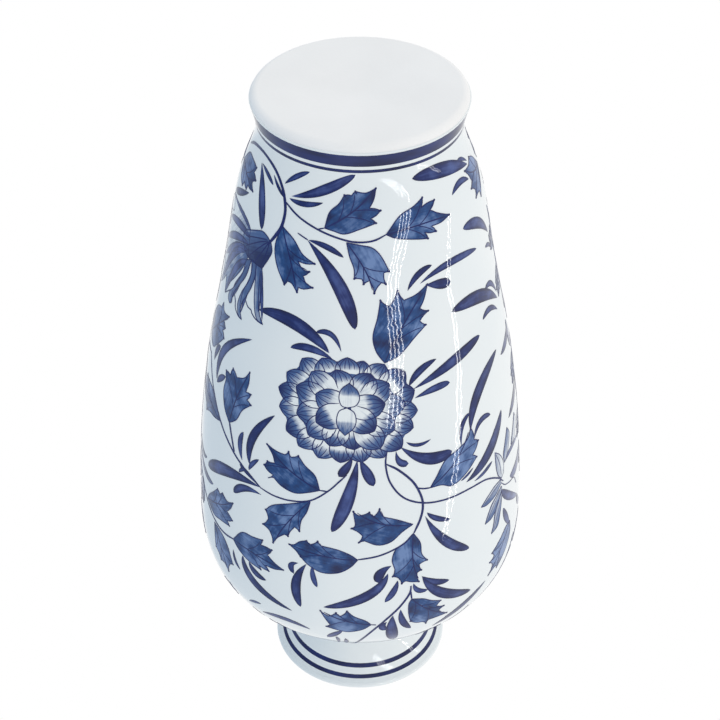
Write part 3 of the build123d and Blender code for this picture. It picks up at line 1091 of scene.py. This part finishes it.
def lily_petal(paint, path, start_tone, end_tone, lift):
    """A petal whose shade changes along it and across it, with a dark outline."""
    outline, corners = closed_line(paint.patch, path)
    base = outline[0]
    tip = max((outline[corner] for corner in corners), key=lambda p: (p - base).length)
    grain = (tip - base).normalized()
    reach = (tip - base).length

    def shade(p):
        u = (p - base).dot(grain) / reach
        return start_tone + (end_tone - start_tone) * u - 1.1 * (p - base).dot(across(grain)) / reach

    paint.wash("petal", outline, lift, shade, grain, spacing=1.6)
    paint.loop(outline, 0.4, lift + 0.04)


def paint_lilies(side, turn):
    for name, petals in LILIES.items():
        paths = [read_path(text, turn) for text, start_tone, end_tone in petals]
        paint = Paint(*paths)
        base_lift = 0.05 if "back" in name else 0.09
        for number, (path, (text, start_tone, end_tone)) in enumerate(zip(paths, petals)):
            lily_petal(paint, path, start_tone, end_tone, base_lift + 0.015 * (number % 3))
        for text, width, peak in LILY_BLADES.get(name, []):
            blade(paint, read_path(text, turn), width, peak, 0.3)
        for text, width in LILY_LINES.get(name, []):
            stem(paint, read_path(text, turn), width)
        paint.make(f"lily_{side}_{name}")


# ---------- CAD pieces

def dress_cad_nodes():
    """The CAD nodes keep their shapes and get glaze, cobalt or clay."""
    for name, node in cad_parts.items():
        mat = MATERIALS["band" if name in BANDS else "glaze" if "glaze" in name else "clay"]
        node.data.materials.clear()
        node.data.materials.append(mat)


# ---------- studio

# The camera looks up from below the foot, upside down: the base is at the top of the picture.
CAMERA_PLACE = Vector((0, -0.6136, -0.3557))
CAMERA_TARGET = Vector((0, 0, 0.1362))
CAMERA_UP = Vector((0, 0.6255, -0.7802))
LENS = 89.9


def standing(place, right, up, back):
    """Where an object stands whose own X, Y and Z are right, up and back."""
    return Matrix.Translation(place) @ Matrix((right, up, back)).transposed().to_4x4()


def make_camera():
    data = bpy.data.cameras.new("camera")
    data.lens = LENS
    data.sensor_width = 36
    camera = add_object("camera", data)
    forward = (CAMERA_TARGET - CAMERA_PLACE).normalized()
    right = forward.cross(CAMERA_UP).normalized()
    camera.matrix_world = standing(CAMERA_PLACE, right, right.cross(forward), -forward)
    bpy.context.scene.camera = camera


# Brightness of the studio's walls by how far they lie towards +X, from 0 at -X to 1 at +X.
WALLS = [
    (0.0, (1.05, 1.05, 1.05)),
    (0.34, (1.0, 1.0, 1.0)),
    (0.625, (1.0, 1.0, 1.0)),
    (0.7, (0.76, 0.82, 0.88)),
    (1.0, (0.46, 0.56, 0.67)),
]


def make_world():
    """White walls that are brightest towards -X, and shaded and cooler towards +X."""
    world = bpy.data.worlds.new("tent")
    world.use_nodes = True
    tree = Nodes(world.node_tree)
    split = tree.add("SeparateXYZ")
    tree.link(tree.add("TexCoord").outputs["Generated"], split.inputs["Vector"])
    share = tree.combine("MULTIPLY", tree.combine("ADD", split.outputs["X"], 1.0), 0.5)
    tree.link(tree.ramp(share, WALLS), tree.nodes["Background"].inputs["Color"])
    bpy.context.scene.world = world
    bpy.context.scene.view_settings.view_transform = "Standard"


# Thin bright edges of the studio's windows, whose reflections are the long wavering lines on the glaze:
# the angle and the height in metres of both ends, and the width in metres.
STRIPS = [(-22.0 + shift, 0.45, -42.0 + shift, -0.05, 0.007) for shift in (4.5, 1.5, -1.5, -4.5)]
STRIPS += [(-56.5, 0.82, -84.0, 0.19, 0.006), (-60.0, 0.82, -87.0, 0.19, 0.004)]
STRIP_DISTANCE = 0.9
STRIP_BRIGHTNESS = 27


def strip_end(angle, height):
    turn = math.radians(angle)
    return Vector((STRIP_DISTANCE * math.sin(turn), -STRIP_DISTANCE * math.cos(turn), height))


def make_strips():
    for number, (high_angle, high, low_angle, low, width) in enumerate(STRIPS):
        top, bottom = strip_end(high_angle, high), strip_end(low_angle, low)
        length = (top - bottom).length
        up = (top - bottom) / length
        middle = (top + bottom) / 2
        right = up.cross(Vector((middle.x, middle.y, 0))).normalized()
        data = bpy.data.lights.new(f"strip_{number}", "AREA")
        data.shape = "RECTANGLE"
        data.size, data.size_y = width, length
        data.energy = STRIP_BRIGHTNESS * math.pi * width * length
        light = add_object(f"strip_{number}", data)
        light.matrix_world = standing(middle, right, up, right.cross(up))
        light.visible_camera = False
        light.visible_diffuse = False


FLOOR_REACH = 9.0
FLOOR_Z = -0.0005
FLOOR_GREY = (0.86, 0.86, 0.86, 1)


def make_floor():
    """A pale floor that shows from above only, so that the vase can be seen from below it."""
    mesh = bpy.data.meshes.new("floor")
    corners = [(x * FLOOR_REACH, y * FLOOR_REACH, 0) for x, y in ((-1, -1), (1, -1), (1, 1), (-1, 1))]
    mesh.from_pydata(corners, [], [(0, 1, 2, 3)])
    floor = add_object("floor", mesh)
    floor.location.z = FLOOR_Z
    look = Look("floor")
    look.shader.inputs["Base Color"].default_value = FLOOR_GREY
    set_inputs(look.shader, Roughness=0.9)
    mix = look.add("MixShader")
    look.link(look.add("NewGeometry").outputs["Backfacing"], mix.inputs["Fac"])
    look.link(look.shader.outputs["BSDF"], mix.inputs[1])
    look.link(look.add("BsdfTransparent").outputs["BSDF"], mix.inputs[2])
    look.link(mix.outputs["Shader"], look.nodes["Material Output"].inputs["Surface"])
    mesh.materials.append(look.material)
    floor.visible_diffuse = False
    floor.visible_glossy = False
    floor.visible_transmission = False
    floor.visible_shadow = False


SIDES = (("front", 0), ("back", 180))

for side, turn in SIDES:
    paint_stems(side, turn)
    paint_leaves(side, turn)
    paint_common_leaves(side, turn)
    paint_blades(side, turn)
for side, turn in SIDES:
    paint_chrysanthemum(side, turn)
    paint_lilies(side, turn)

dress_cad_nodes()
make_camera()
make_world()
make_strips()
make_floor()

bpy.context.view_layer.update()
